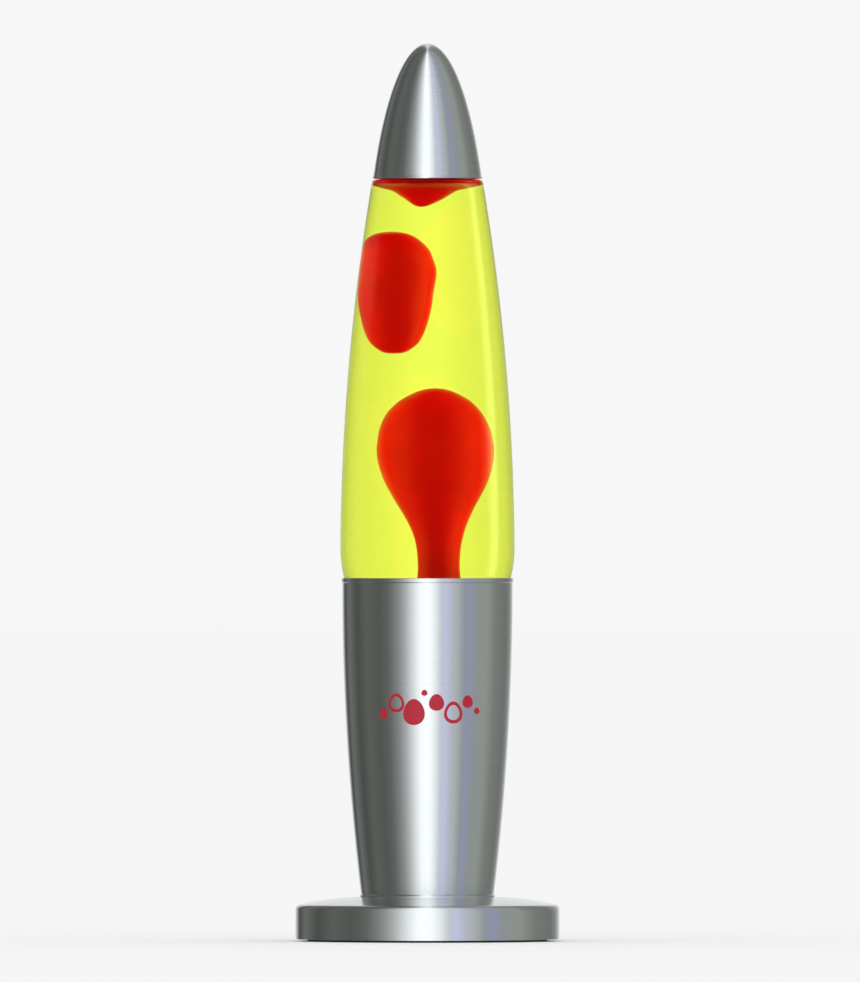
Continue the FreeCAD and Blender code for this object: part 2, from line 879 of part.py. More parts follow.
def make_crown_cap():
    """Crimped steel cap: a thin top and a fluted skirt round the bottle's finish."""
    mouth = dim("mouth_height")
    wall = dim("crown_wall")
    liner = dim("liner_thickness")
    finish = dim("finish_radius")
    gap = dim("crown_gap")
    skirt = dim("crown_skirt_bottom")
    body = revolved("crown_cap", [
        (ZERO, mouth + liner),
        (dim("liner_radius"), mouth + liner),
        (finish + gap, mouth - dim("crown_shoulder_drop")),
        (finish + gap * 2, skirt),
        (dim("crown_radius"), skirt),
        (dim("crown_shoulder_radius"), mouth - dim("crown_shoulder_drop") + wall),
        (dim("crown_top_radius"), mouth + liner + wall, dim("crown_round")),
        (ZERO, mouth + liner + wall),
    ])
    flute = circle_sketch(body, "flute_outline", dim("flute_radius"), dim("flute_circle"))
    cut = pocket(body, flute, "flute_cut")
    around(body, cut, "flutes", dim("flute_count"))
    return body


def make_top_cap():
    """Spun nose cap: an ellipsoid shell cut off square, with a rolled hem."""
    wall = dim("cap_wall")
    centre = dim("cap_top") - dim("cap_half_length")
    forms = []
    for name, inset in (("cap_outside", ZERO), ("cap_inside", wall)):
        form = doc.addObject("Part::Ellipsoid", name)
        form.setExpression("Radius1", (dim("cap_half_length") - inset).text)
        form.setExpression("Radius2", (dim("cap_half_width") - inset).text)
        form.setExpression("Radius3", (dim("cap_half_width") - inset).text)
        form.setExpression(".Placement.Base.z", centre.text)
        forms.append(form)
    radius = dim("cap_hem_radius")
    bottom = dim("cap_bottom")
    inner = dim("cap_hem_inner")
    edge = dim("cap_hem_round")
    taper = dim("cap_hem_taper")
    hem_top = bottom + dim("cap_hem_height")
    joined = hem_top + dim("cap_hem_overlap")
    slab = cylinder("cap_slab", dim("cap_half_width"), hem_top, dim("cap_top") + wall)
    nose = boolean("Part::Common", "cap_nose", forms[0], slab)
    shell = boolean("Part::Cut", "cap_shell", nose, forms[1])
    hem = revolved("cap_hem", [
        (inner, bottom),
        (radius - edge, bottom),
        (radius, bottom + edge, edge),
        (radius - taper, joined),
        (inner - taper, joined),
    ])
    return boolean("Part::Fuse", "top_cap", shell, hem)


def make_holder_base_cap():
    """Lower half of the lamp holder, screwed on to the threaded tube."""
    radius = dim("holder_radius")
    inner = radius - dim("holder_wall")
    low = dim("holder_bottom")
    split = dim("holder_split")
    ledge = split - dim("collar_half_height")
    recess = dim("collar_radius") + dim("fit_gap")
    chamfer = dim("holder_chamfer")
    return revolved("holder_base_cap", [
        (dim("nipple_radius"), low),
        (radius - chamfer, low),
        (radius, low + chamfer),
        (radius, split),
        (recess, split),
        (recess, ledge),
        (inner, ledge),
        (inner, low + dim("holder_floor")),
        (dim("nipple_radius"), low + dim("holder_floor")),
    ])


def make_holder_sleeve():
    """Upper half of the lamp holder, open at the top for the bulb."""
    radius = dim("holder_radius")
    inner = radius - dim("holder_wall")
    split = dim("holder_split")
    top = dim("holder_top")
    ledge = split + dim("collar_half_height")
    lip = top - dim("holder_mouth_depth")
    recess = dim("collar_radius") + dim("fit_gap")
    chamfer = dim("holder_chamfer")
    return revolved("holder_sleeve", [
        (recess, split),
        (radius, split),
        (radius, top - chamfer),
        (radius - chamfer, top),
        (dim("holder_mouth_radius"), top),
        (dim("holder_mouth_radius"), lip),
        (inner, lip),
        (inner, ledge),
        (recess, ledge),
    ])


def make_holder_core():
    """Ceramic core that carries the screw shell and the contact."""
    seat = dim("screw_shell_inner") + dim("screw_shell_wall")
    radius = dim("core_radius")
    split = dim("holder_split")
    half = dim("collar_half_height")
    body = revolved("holder_core", [
        (ZERO, dim("core_bottom")),
        (radius, dim("core_bottom")),
        (radius, split - half),
        (dim("collar_radius"), split - half),
        (dim("collar_radius"), split + half),
        (radius, split + half),
        (radius, dim("core_top")),
        (seat, dim("core_top")),
        (seat, dim("core_floor")),
        (ZERO, dim("core_floor")),
    ])
    sketch = circle_sketch(body, "terminal_hole", dim("terminal_radius"),
                           dim("terminal_spread"))
    lift(sketch, dim("core_bottom") + dim("terminal_length"))
    cut = body.newObject("PartDesign::Pocket", "terminal_hole_cut")
    cut.Profile = sketch
    cut.setExpression("Length", dim("terminal_length").text)
    doc.recompute()
    around(body, cut, "terminal_holes", dim("terminal_count"))
    return body


def make_holder_screw_shell():
    """Thin brass shell in the core, with a turned-out top edge."""
    inner = dim("screw_shell_inner")
    wall = dim("screw_shell_wall")
    return revolved("holder_screw_shell", [
        (inner, dim("core_floor")),
        (inner + wall, dim("core_floor")),
        (inner + wall, dim("core_top")),
        (inner + dim("screw_shell_rim"), dim("core_top")),
        (inner + dim("screw_shell_rim"), dim("screw_shell_top")),
        (inner, dim("screw_shell_top")),
    ])


def make_holder_contact():
    """Bent brass leaf that presses on the bulb's contact."""
    body = new_body("holder_contact")
    thick = dim("contact_thickness")
    low = dim("core_floor")
    high = dim("bulb_contact_height") - dim("contact_gap")
    reach = dim("contact_reach")
    bend_low = dim("contact_bend_low")
    bend_high = dim("contact_bend_high")
    end = dim("contact_end")
    sketch = new_sketch(body, "leaf_outline", "XZ_Plane")
    outline(sketch, [
        (-reach, low),
        (-bend_low, low),
        (-bend_high, high - thick),
        (end, high - thick),
        (end, high),
        (-(bend_high + thick), high),
        (-(bend_low + thick), low + thick),
        (-reach, low + thick),
    ])
    pad(body, sketch, "leaf", dim("contact_width"), symmetric=True)
    return body


def make_terminal_screws():
    """Two cheese-head screws under the core."""
    body = new_body("terminal_screws")
    spread = dim("terminal_spread")
    bottom = dim("core_bottom")
    shank = circle_sketch(body, "terminal_shank", dim("terminal_radius"), spread)
    lift(shank, bottom)
    first = pad(body, shank, "terminal_shank_pad", dim("terminal_length"))
    head = circle_sketch(body, "terminal_head", dim("terminal_head_radius"), spread)
    lift(head, bottom - dim("terminal_head_height"))
    second = pad(body, head, "terminal_head_pad", dim("terminal_head_height"))
    pattern = around(body, second, "both_terminals", dim("terminal_count"))
    pattern.Originals = [first, second]
    doc.recompute()
    return body


def seated(body):
    """Stand a bulb piece, drawn from its contact upwards, on the holder's contact."""
    body.setExpression(".Placement.Base.z", dim("bulb_contact_height").text)
    doc.recompute()
    return body


def make_bulb_end_contact():
    """Solder button under the bulb's cap."""
    radius = dim("contact_button_radius")
    edge = dim("contact_button_round")
    return seated(revolved("bulb_end_contact", [
        (ZERO, ZERO),
        (radius - edge, ZERO),
        (radius, edge, edge),
        (radius, dim("contact_button_height")),
        (ZERO, dim("contact_button_height")),
    ]))


def make_bulb_insulator():
    """Black glass cone between the solder button and the screw cap."""
    hole = dim("contact_button_radius") + dim("fit_gap")
    roof = dim("contact_button_height") + dim("fit_gap")
    return seated(revolved("bulb_insulator", [
        (hole, roof * 0.5),
        (hole + dim("insulator_face"), roof * 0.5),
        (dim("insulator_radius"), dim("insulator_height")),
        (ZERO, dim("insulator_height")),
        (ZERO, roof),
        (hole, roof),
    ]))


def make_bulb_screw_cap():
    """Edison cap, 14 mm across, drawn at its thread's outer diameter."""
    radius = dim("screw_cap_radius")
    wall = dim("screw_cap_wall")
    low = dim("insulator_height")
    chamfer = dim("screw_cap_chamfer")
    return seated(revolved("bulb_screw_cap", [
        (dim("insulator_radius") - wall, low),
        (dim("insulator_radius"), low),
        (radius, low + chamfer),
        (radius, dim("screw_cap_height")),
        (radius - wall, dim("screw_cap_height")),
        (radius - wall, low + chamfer + wall * 0.5),
    ]))


def make_bulb_glass():
    """Reflector bulb: neck, cone and domed front, blown to an even wall."""
    wall = dim("bulb_wall")
    head = dim("bulb_head_radius")
    cone = dim("bulb_cone_radius")
    neck = dim("bulb_neck_radius")
    taper = dim("bulb_neck_taper")
    edge = dim("bulb_rim_round")
    return seated(revolved("bulb_glass", [
        (dim("bulb_seal_radius") - wall, dim("bulb_seal_bottom")),
        (dim("bulb_seal_radius"), dim("bulb_seal_bottom")),
        (dim("bulb_seal_radius"), dim("bulb_seal_top")),
        (neck, dim("bulb_neck_bottom")),
        (neck + taper, dim("bulb_neck_top")),
        (cone, dim("bulb_cone_height")),
        (head, dim("bulb_head_height"), edge),
        (ZERO, dim("bulb_length"), POLAR),
        (ZERO, dim("bulb_length") - wall),
        (head - wall, dim("bulb_head_height"), POLAR),
        (cone - wall, dim("bulb_cone_height"), -(edge - wall)),
        (neck + taper - wall, dim("bulb_neck_top")),
        (neck - wall, dim("bulb_neck_bottom")),
        (dim("bulb_seal_radius") - wall, dim("bulb_seal_top")),
    ]))


def make_bulb_stem():
    """Glass mount that closes the bulb and holds the lead wires."""
    radius = dim("stem_radius")
    return seated(revolved("bulb_stem", [
        (ZERO, dim("stem_bottom")),
        (dim("stem_foot_radius"), dim("stem_bottom")),
        (dim("stem_foot_radius"), dim("bulb_seal_bottom") + dim("stem_lip")),
        (radius + dim("stem_flare"), dim("bulb_seal_top"), -dim("stem_flare_arc")),
        (radius, dim("stem_height")),
        (ZERO, dim("stem_height")),
    ]))


def make_filament_leads():
    """Two wires that lean outwards from the stem to the filament's ends."""
    rods = []
    for side, name in ((1, "right_lead"), (-1, "left_lead")):
        rod = doc.addObject("Part::Cylinder", name)
        rod.setExpression("Radius", dim("lead_radius").text)
        rod.setExpression("Height", dim("lead_length").text)
        lean = dim("lead_lean")
        rod.Placement = FreeCAD.Placement(
            Vector(0, 0, 0), Rotation(Vector(0, side, 0), lean.number))
        rod.setExpression(".Placement.Rotation.Angle", lean.text)
        rod.setExpression(".Placement.Base.x", f"{side} * {dim('lead_foot').text}")
        base = dim("bulb_contact_height") + dim("stem_height") + dim("lead_radius") * 0.25
        rod.setExpression(".Placement.Base.z", base.text)
        rods.append(rod)
    doc.recompute()
    return boolean("Part::Fuse", "filament_leads", rods[0], rods[1])


def make_bulb_filament():
    """Coiled wire that lies across the leads."""
    body = helix("bulb_filament", dim("filament_radius"), dim("filament_wire"),
                 dim("filament_pitch"), dim("filament_length"), ZERO)
    body.Placement = FreeCAD.Placement(Vector(0, 0, 0), Rotation(Vector(0, 1, 0), 90))
    body.setExpression(".Placement.Base.x", f"{(-(dim('filament_length') * 0.5)).text}")
    height = dim("bulb_contact_height") + dim("filament_height")
    body.setExpression(".Placement.Base.z", height.text)
    doc.recompute()
    return body


def make_parts():
    """Build every sub-part of the lamp, from the floor up."""
    nipple = make_tube("threaded_nipple", dim("nipple_bore"), dim("nipple_radius"),
                       dim("nipple_bottom"), dim("nipple_top"))
    lock_washer = make_tube("lock_washer", dim("bore_radius"), dim("washer_radius"),
                            dim("nut_pocket_top") - dim("washer_thickness"),
                            dim("nut_pocket_top"))
    floor_top = dim("shell_floor") + dim("shell_floor_thickness")
    holder_washer = make_tube("holder_washer", dim("bore_radius"), dim("washer_radius"),
                              floor_top, floor_top + dim("washer_thickness"))
    liner = make_tube("crown_liner", ZERO, dim("liner_radius"), dim("mouth_height"),
                      dim("mouth_height") + dim("liner_thickness"))
    makers = [
        make_base_disc, make_ballast, make_base_cover, make_cover_screws, make_rubber_feet,
        make_cord_grommet, make_nipple_nut, make_body_shell, make_holder_base_cap,
        make_holder_sleeve, make_holder_core, make_holder_screw_shell, make_holder_contact,
        make_terminal_screws, make_bulb_end_contact, make_bulb_insulator, make_bulb_screw_cap,
        make_bulb_glass, make_bulb_stem, make_filament_leads, make_bulb_filament,
        make_globe_bottle, make_crown_cap, make_top_cap,
    ]
    parts = [nipple, lock_washer, holder_washer, liner]
    parts += [make() for make in makers]
    parts += make_bottle_contents()
    return parts


def check_document(parts):
    """Stop if any object failed or any sub-part has no sound shape."""
    for item in doc.Objects:
        if "Invalid" in item.State or "Error" in item.State:
            raise RuntimeError(f"{item.Label} failed to build")
    for part in parts:
        if part.Shape.isNull() or not part.Shape.isValid() or not part.Shape.Solids:
            raise RuntimeError(f"{part.Label} has no sound solid")


def write_parts(parts):
    """Write each sub-part to its own STEP file."""
    os.makedirs("parts", exist_ok=True)
    for part in parts:
        part.Shape.exportStep(os.path.join("parts", f"{part.Label}.step"))
        print(f"{part.Label}: {len(part.Shape.Solids)} solids, {part.Shape.Volume:.1f} mm3")


fill_sheet()
all_parts = make_parts()
doc.recompute()
check_document(all_parts)
write_parts(all_parts)
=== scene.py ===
import json
import math

import bmesh
import bpy
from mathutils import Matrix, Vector


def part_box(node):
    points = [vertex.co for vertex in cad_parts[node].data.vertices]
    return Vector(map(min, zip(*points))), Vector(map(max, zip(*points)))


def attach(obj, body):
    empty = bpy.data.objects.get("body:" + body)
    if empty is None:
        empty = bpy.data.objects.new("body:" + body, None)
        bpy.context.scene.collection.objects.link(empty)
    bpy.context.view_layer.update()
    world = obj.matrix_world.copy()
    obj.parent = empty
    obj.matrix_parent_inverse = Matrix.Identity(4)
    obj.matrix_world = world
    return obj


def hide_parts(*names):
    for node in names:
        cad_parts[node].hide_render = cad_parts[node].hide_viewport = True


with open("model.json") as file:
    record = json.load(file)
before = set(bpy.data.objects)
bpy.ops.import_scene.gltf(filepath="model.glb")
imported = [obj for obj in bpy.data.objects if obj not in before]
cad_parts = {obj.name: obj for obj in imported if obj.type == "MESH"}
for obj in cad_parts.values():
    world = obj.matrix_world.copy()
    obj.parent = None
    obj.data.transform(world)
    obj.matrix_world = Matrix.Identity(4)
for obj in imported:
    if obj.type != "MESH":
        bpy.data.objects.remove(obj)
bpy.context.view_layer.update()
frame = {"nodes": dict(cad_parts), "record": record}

NODES = frame["nodes"]
MM = 0.001
FINEST = 1e-7  # m; a radius below this is a point on the axis


# ---------------------------------------------------------------- outlines and lathe work

def arc(start, end, radius, steps):
    """Points after start up to end along an arc that bulges right of its travel, or left if < 0."""
    chord = Vector((end[0] - start[0], end[1] - start[1]))
    half = chord.length / 2
    depth = math.sqrt(max(radius * radius - half * half, 0.0))
    right = Vector((chord.y, -chord.x)).normalized() * math.copysign(1.0, radius)
    centre = Vector(start) + chord / 2 - right * depth
    first = Vector(start) - centre
    sweep = 2 * math.asin(min(half / abs(radius), 1.0)) * math.copysign(1.0, radius)
    points = []
    for step in range(1, steps + 1):
        angle = sweep * step / steps
        turned = Vector((first.x * math.cos(angle) - first.y * math.sin(angle),
                         first.x * math.sin(angle) + first.y * math.cos(angle)))
        points.append((centre.x + turned.x, centre.y + turned.y))
    return points


def outline(corners, steps=24):
    """Turn corners into points; a corner is (r, z) in mm, or (r, z, radius) reached by an arc."""
    points = []
    for corner in corners:
        target = (corner[0] * MM, corner[1] * MM)
        if len(corner) == 3 and points:
            points += arc(points[-1], target, corner[2] * MM, steps)
        else:
            points.append(target)
    return points


def curve_through(knots, steps=10):
    """A smooth curve through knots in mm, as Catmull-Rom spans, returned in metres."""
    padded = [knots[0]] + list(knots) + [knots[-1]]
    points = []
    for i in range(1, len(padded) - 2):
        p0, p1, p2, p3 = (Vector(k) for k in padded[i - 1:i + 3])
        for step in range(steps):
            u = step / steps
            q = (p1 * 2 + (p2 - p0) * u + (p0 * 2 - p1 * 5 + p2 * 4 - p3) * u * u
                 + (p1 * 3 - p0 - p2 * 3 + p3) * u ** 3) / 2
            points.append((max(q.x, 0.0) * MM, q.y * MM))
    points.append((knots[-1][0] * MM, knots[-1][1] * MM))
    return points


def lathe(name, points, segments=192, closed=True, centre=(0.0, 0.0), sway=None):
    """Spin a profile of (radius, height) round the vertical axis into a clean quad mesh."""
    mesh_work = bmesh.new()
    rings = []
    for radius, height in points:
        lean = sway(height) if sway else (0.0, 0.0)
        origin = Vector((centre[0] + lean[0], centre[1] + lean[1], height))
        if radius < FINEST:
            rings.append([mesh_work.verts.new(origin)])
            continue
        ring = []
        for step in range(segments):
            angle = 2 * math.pi * step / segments
            offset = Vector((math.cos(angle), math.sin(angle), 0.0)) * radius
            ring.append(mesh_work.verts.new(origin + offset))
        rings.append(ring)
    pairs = list(zip(rings, rings[1:]))
    if closed and not (len(rings[0]) == 1 and len(rings[-1]) == 1):
        pairs.append((rings[-1], rings[0]))
    for low, high in pairs:
        if len(low) == 1 and len(high) == 1:
            continue
        for step in range(segments):
            after = (step + 1) % segments
            corners = []
            for ring, spots in ((low, (step, after)), (high, (after, step))):
                corners += [ring[0]] if len(ring) == 1 else [ring[spot] for spot in spots]
            mesh_work.faces.new(corners)
    bmesh.ops.recalc_face_normals(mesh_work, faces=mesh_work.faces)
    return finish_mesh(name, mesh_work)


def finish_mesh(name, mesh_work, smooth_angle=32.0):
    """Store a bmesh as an object with smooth shading that breaks at real edges."""
    mesh = bpy.data.meshes.new(name)
    mesh_work.to_mesh(mesh)
    mesh_work.free()
    mesh.polygons.foreach_set("use_smooth", [True] * len(mesh.polygons))
    mesh.set_sharp_from_angle(angle=math.radians(smooth_angle))
    piece = bpy.data.objects.new(name, mesh)
    bpy.context.scene.collection.objects.link(piece)
    return piece


# ---------------------------------------------------------------- materials

def new_material(name):
    """An empty node material with a Principled shader; returns material, nodes, links, shader."""
    material = bpy.data.materials.new(name)
    material.use_nodes = True
    nodes = material.node_tree.nodes
    links = material.node_tree.links
    shader = nodes["Principled BSDF"]
    return material, nodes, links, shader


def setting(shader, **values):
    """Set constant shader sockets by their names, with spaces written as underscores."""
    for name, value in values.items():
        shader.inputs[name.replace("_", " ")].default_value = value


def math_node(nodes, links, operation, *operands):
    """A Math node whose operands are sockets or plain numbers; returns its output."""
    node = nodes.new("ShaderNodeMath")
    node.operation = operation
    for socket, operand in zip(node.inputs, operands):
        if isinstance(operand, (int, float)):
            socket.default_value = operand
        else:
            links.new(operand, socket)
    return node.outputs[0]


def ramp(nodes, links, source, stops):
    """A colour ramp with stops of (place, grey or colour); returns its colour."""
    node = nodes.new("ShaderNodeValToRGB")
    elements = node.color_ramp.elements
    while len(elements) < len(stops):
        elements.new(0.5)
    for element, (place, value) in zip(elements, stops):
        element.position = place
        colour = value if isinstance(value, tuple) else (value, value, value)
        element.color = (*colour, 1.0)
    links.new(source, node.inputs[0])
    return node.outputs["Color"]


def noise(nodes, links, scale, detail=2.0, along=None):
    """Noise over the object's own coordinates, or along one running coordinate."""
    node = nodes.new("ShaderNodeTexNoise")
    node.inputs["Detail"].default_value = detail
    node.inputs["Scale"].default_value = scale
    if along is None:
        place = nodes.new("ShaderNodeTexCoord")
        links.new(place.outputs["Object"], node.inputs["Vector"])
    else:
        node.noise_dimensions = "1D"
        links.new(along, node.inputs["W"])
    return node.outputs["Fac"]


def relief(nodes, links, shader, height, depth):
    """Surface relief of a real depth in metres."""
    bump = nodes.new("ShaderNodeBump")
    bump.inputs["Strength"].default_value = 1.0
    bump.inputs["Distance"].default_value = depth
    links.new(height, bump.inputs["Height"])
    links.new(bump.outputs["Normal"], shader.inputs["Normal"])


def lathe_coordinate(nodes, links):
    """A length that runs only across the tool marks of a turned part: its radius plus height."""
    place = nodes.new("ShaderNodeTexCoord")
    split = nodes.new("ShaderNodeSeparateXYZ")
    links.new(place.outputs["Object"], split.inputs[0])
    across = math_node(nodes, links, "MULTIPLY", split.outputs["X"], split.outputs["X"])
    along = math_node(nodes, links, "MULTIPLY", split.outputs["Y"], split.outputs["Y"])
    squared = math_node(nodes, links, "ADD", across, along)
    radius = math_node(nodes, links, "SQRT", squared)
    return math_node(nodes, links, "ADD", radius, split.outputs["Z"])


def spun_aluminium():
    """Spun and brushed aluminium: fine rings round the axis, with faint handling marks."""
    material, nodes, links, shader = new_material("spun_aluminium")
    along = lathe_coordinate(nodes, links)
    fine = noise(nodes, links, 3400.0, 2.0, along)
    band = noise(nodes, links, 900.0, 2.0, along)
    marks = noise(nodes, links, 38.0, 4.0)
    lines = math_node(nodes, links, "MULTIPLY_ADD", band, 0.4, fine)
    tint = ramp(nodes, links, lines, [(0.45, (0.82, 0.84, 0.845)), (0.95, (0.88, 0.90, 0.905))])
    links.new(tint, shader.inputs["Base Color"])
    wear = math_node(nodes, links, "MULTIPLY_ADD", marks, 0.5, band)
    links.new(ramp(nodes, links, wear, [(0.4, 0.17), (1.0, 0.21)]), shader.inputs["Roughness"])
    relief(nodes, links, shader, fine, 0.0000015)
    tangent = nodes.new("ShaderNodeTangent")
    tangent.direction_type = "RADIAL"
    tangent.axis = "Z"
    links.new(tangent.outputs[0], shader.inputs["Tangent"])
    setting(shader, Metallic=1.0, Anisotropic=0.8, Anisotropic_Rotation=0.25)
    return material


def clear_glass(name):
    """Clear, faintly green glass."""
    material, _, _, shader = new_material(name)
    setting(shader, Base_Color=(0.99, 1.0, 0.98, 1.0), Roughness=0.0, IOR=1.5,
            Transmission_Weight=1.0)
    return material


def yellow_liquid():
    """Clear yellow-green liquid."""
    material, _, _, shader = new_material("yellow_green_liquid")
    setting(shader, Base_Color=(0.885, 1.0, 0.092, 1.0), Roughness=0.0, IOR=1.333,
            Transmission_Weight=1.0)
    return material


def red_wax():
    """Molten red wax: deep colour with slow clouds, slightly translucent, soft gloss.

    Its index of refraction is that of wax against the liquid round it, so it reflects little.
    """
    material, nodes, links, shader = new_material("red_wax")
    clouds = noise(nodes, links, 55.0, 3.0)
    tint = ramp(nodes, links, clouds,
                [(0.3, (0.80, 0.0006, 0.0010)), (0.7, (0.92, 0.0014, 0.0018))])
    links.new(tint, shader.inputs["Base Color"])
    relief(nodes, links, shader, noise(nodes, links, 90.0, 1.0), 0.00025)
    setting(shader, Roughness=0.32, IOR=1.12, Subsurface_Weight=0.12, Subsurface_Scale=0.003,
            Coat_Weight=0.45, Coat_Roughness=0.20, Coat_IOR=1.22)
    shader.inputs["Subsurface Radius"].default_value = (1.0, 0.06, 0.04)
    return material


SILVERED_SHARE = 0.67  # share of the bulb's height that is silvered, from its neck up
FROST_ROUGHNESS = 0.42
SILVER_ROUGHNESS = 0.10


def reflector_bulb():
    """Bulb glass: a frosted front above a cone and neck that are silvered inside."""
    material, nodes, links, shader = new_material("reflector_bulb")
    place = nodes.new("ShaderNodeTexCoord")
    split = nodes.new("ShaderNodeSeparateXYZ")
    links.new(place.outputs["Object"], split.inputs[0])
    low, high = (corner[2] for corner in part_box("bulb_glass"))
    edge = low + (high - low) * SILVERED_SHARE
    silver = math_node(nodes, links, "LESS_THAN", split.outputs["Z"], edge)
    frost = noise(nodes, links, 2500.0, 2.0)
    clear = ramp(nodes, links, frost, [(0.3, (0.88, 0.87, 0.83)), (0.7, (0.94, 0.93, 0.90))])
    mirror = ramp(nodes, links, noise(nodes, links, 60.0, 3.0),
                  [(0.3, (0.80, 0.81, 0.80)), (0.7, (0.86, 0.86, 0.85))])
    mix = nodes.new("ShaderNodeMix")
    mix.data_type = "RGBA"
    links.new(silver, mix.inputs["Factor"])
    links.new(clear, mix.inputs["A"])
    links.new(mirror, mix.inputs["B"])
    links.new(mix.outputs["Result"], shader.inputs["Base Color"])
    links.new(silver, shader.inputs["Metallic"])
    rough = math_node(nodes, links, "MULTIPLY_ADD", silver, SILVER_ROUGHNESS - FROST_ROUGHNESS,
                      FROST_ROUGHNESS)
    links.new(rough, shader.inputs["Roughness"])
    setting(shader, Subsurface_Weight=0.1, Subsurface_Scale=0.002, Coat_Weight=0.5,
            Coat_Roughness=0.04)
    return material


def grained(name, dark, light, roughness, grain, depth, **constants):
    """A surface whose colour, gloss and relief vary with one grain, given per metre."""
    material, nodes, links, shader = new_material(name)
    speckle = noise(nodes, links, grain, 4.0)
    links.new(ramp(nodes, links, speckle, [(0.35, dark), (0.65, light)]),
              shader.inputs["Base Color"])
    smudge = noise(nodes, links, grain / 12.0, 3.0)
    gloss = ramp(nodes, links, smudge, [(0.3, roughness * 0.85), (0.7, roughness * 1.15)])
    links.new(gloss, shader.inputs["Roughness"])
    relief(nodes, links, shader, speckle, depth)
    setting(shader, **constants)
    return material


# ---------------------------------------------------------------- stage

# What the metal sees round the studio: (degrees, colour), where 0 is the front (-Y) and the
# angle grows towards the right (+X). A tall soft box stands in front, a wider one behind.
ROUND_METAL = [
    (-180, (0.85, 0.86, 0.86)), (-166, (0.60, 0.61, 0.60)), (-152, (0.05, 0.05, 0.05)),
    (-135, (0.15, 0.16, 0.15)), (-112, (0.065, 0.07, 0.06)), (-92, (0.11, 0.115, 0.105)),
    (-70, (0.085, 0.09, 0.08)), (-55, (0.12, 0.125, 0.115)), (-41, (0.25, 0.26, 0.25)),
    (-30, (0.44, 0.46, 0.46)), (-20, (0.77, 0.80, 0.81)), (-9, (1.14, 1.16, 1.17)),
    (3, (1.16, 1.18, 1.20)), (12, (0.90, 0.92, 0.95)), (19, (0.60, 0.63, 0.68)),
    (27, (0.60, 0.62, 0.86)), (33, (0.52, 0.54, 0.60)), (42, (0.46, 0.48, 0.49)),
    (52, (0.31, 0.33, 0.34)), (61, (0.31, 0.32, 0.50)), (68, (0.30, 0.32, 0.32)),
    (90, (0.30, 0.32, 0.29)), (106, (0.205, 0.22, 0.195)), (137, (0.165, 0.175, 0.165)),
    (152, (0.28, 0.28, 0.28)), (166, (0.62, 0.62, 0.62)), (180, (0.85, 0.86, 0.86)),
]

# What lights the wax through the liquid: a strong soft box on each side, weak light elsewhere.
ROUND_WAX = [
    (-180, 0.4), (-126, 0.6), (-108, 8.0), (-76, 8.4), (-60, 0.8), (54, 0.8), (68, 8.6),
    (104, 8.4), (122, 0.6), (180, 0.4),
]

# What the wax's gloss and the inside of the glass mirror: dark, with a soft strip on the right.
ROUND_GLOSS = [
    (-180, 0.80), (-150, 0.70), (-130, 0.15), (-100, 0.01), (80, 0.01), (92, 0.5), (103, 3.0),
    (110, 3.0), (117, 0.03), (130, 0.15), (150, 0.70), (180, 0.80),
]

# What the outside of the glass mirrors: dark cards, and the paper and liquid at a grazing angle.
ROUND_GLASS = [
    (-180, (0.70, 0.76, 0.42)), (-160, (0.52, 0.56, 0.30)), (-142, (0.08, 0.08, 0.06)),
    (-104, (0.20, 0.20, 0.20)), (-92, (0.01, 0.01, 0.01)), (92, (0.01, 0.01, 0.01)),
    (104, (0.20, 0.20, 0.20)), (142, (0.08, 0.08, 0.06)), (160, (0.52, 0.56, 0.30)),
    (180, (0.70, 0.76, 0.42)),
]

# Share by which the paper seen through the bottle is brighter: most straight behind it.
BACKLIGHT = [
    (-180, 0.31), (-175, 0.295), (-167, 0.20), (-157, 0.155), (157, 0.155), (167, 0.20),
    (175, 0.295), (180, 0.31),
]

PAPER = 0.93  # brightness of the paper that fills the background
BRIGHTEST = 9.0  # a ramp holds colours up to 1, so the tables of lights are scaled by this

FLOOR_SIZE = 60.0  # m
LENS = 800.0  # mm; a long lens, so that there is hardly any perspective
SENSOR_HEIGHT = 24.0  # mm
VIEW_HEIGHT = 0.3884  # m seen from the picture's bottom to its top, at the lamp
AIM = (0.001, 0.178)  # m; the middle of the picture, across and up
FAR_CLIP = 200.0  # m


def compass(nodes, links):
    """The direction of view as a share of a full turn, starting from the back."""
    place = nodes.new("ShaderNodeTexCoord")
    split = nodes.new("ShaderNodeSeparateXYZ")
    links.new(place.outputs["Generated"], split.inputs[0])
    ahead = math_node(nodes, links, "MULTIPLY", split.outputs["Y"], -1.0)
    turn = math_node(nodes, links, "ARCTAN2", split.outputs["X"], ahead)
    return math_node(nodes, links, "MULTIPLY_ADD", turn, 0.5 / math.pi, 0.5)


def round_stops(table, brightest):
    """Ramp stops from a table of directions in degrees, with its lights as shares of one."""
    stops = []
    for degrees, light in table:
        colour = light if isinstance(light, tuple) else (light, light, light)
        stops.append(((degrees + 180) / 360, tuple(part / brightest for part in colour)))
    return stops


def studio_round(nodes, links, direction, table):
    """A background that shines as a table of directions says."""
    background = nodes.new("ShaderNodeBackground")
    background.inputs["Strength"].default_value = BRIGHTEST
    lights = ramp(nodes, links, direction, round_stops(table, BRIGHTEST))
    links.new(lights, background.inputs["Color"])
    return background.outputs[0]


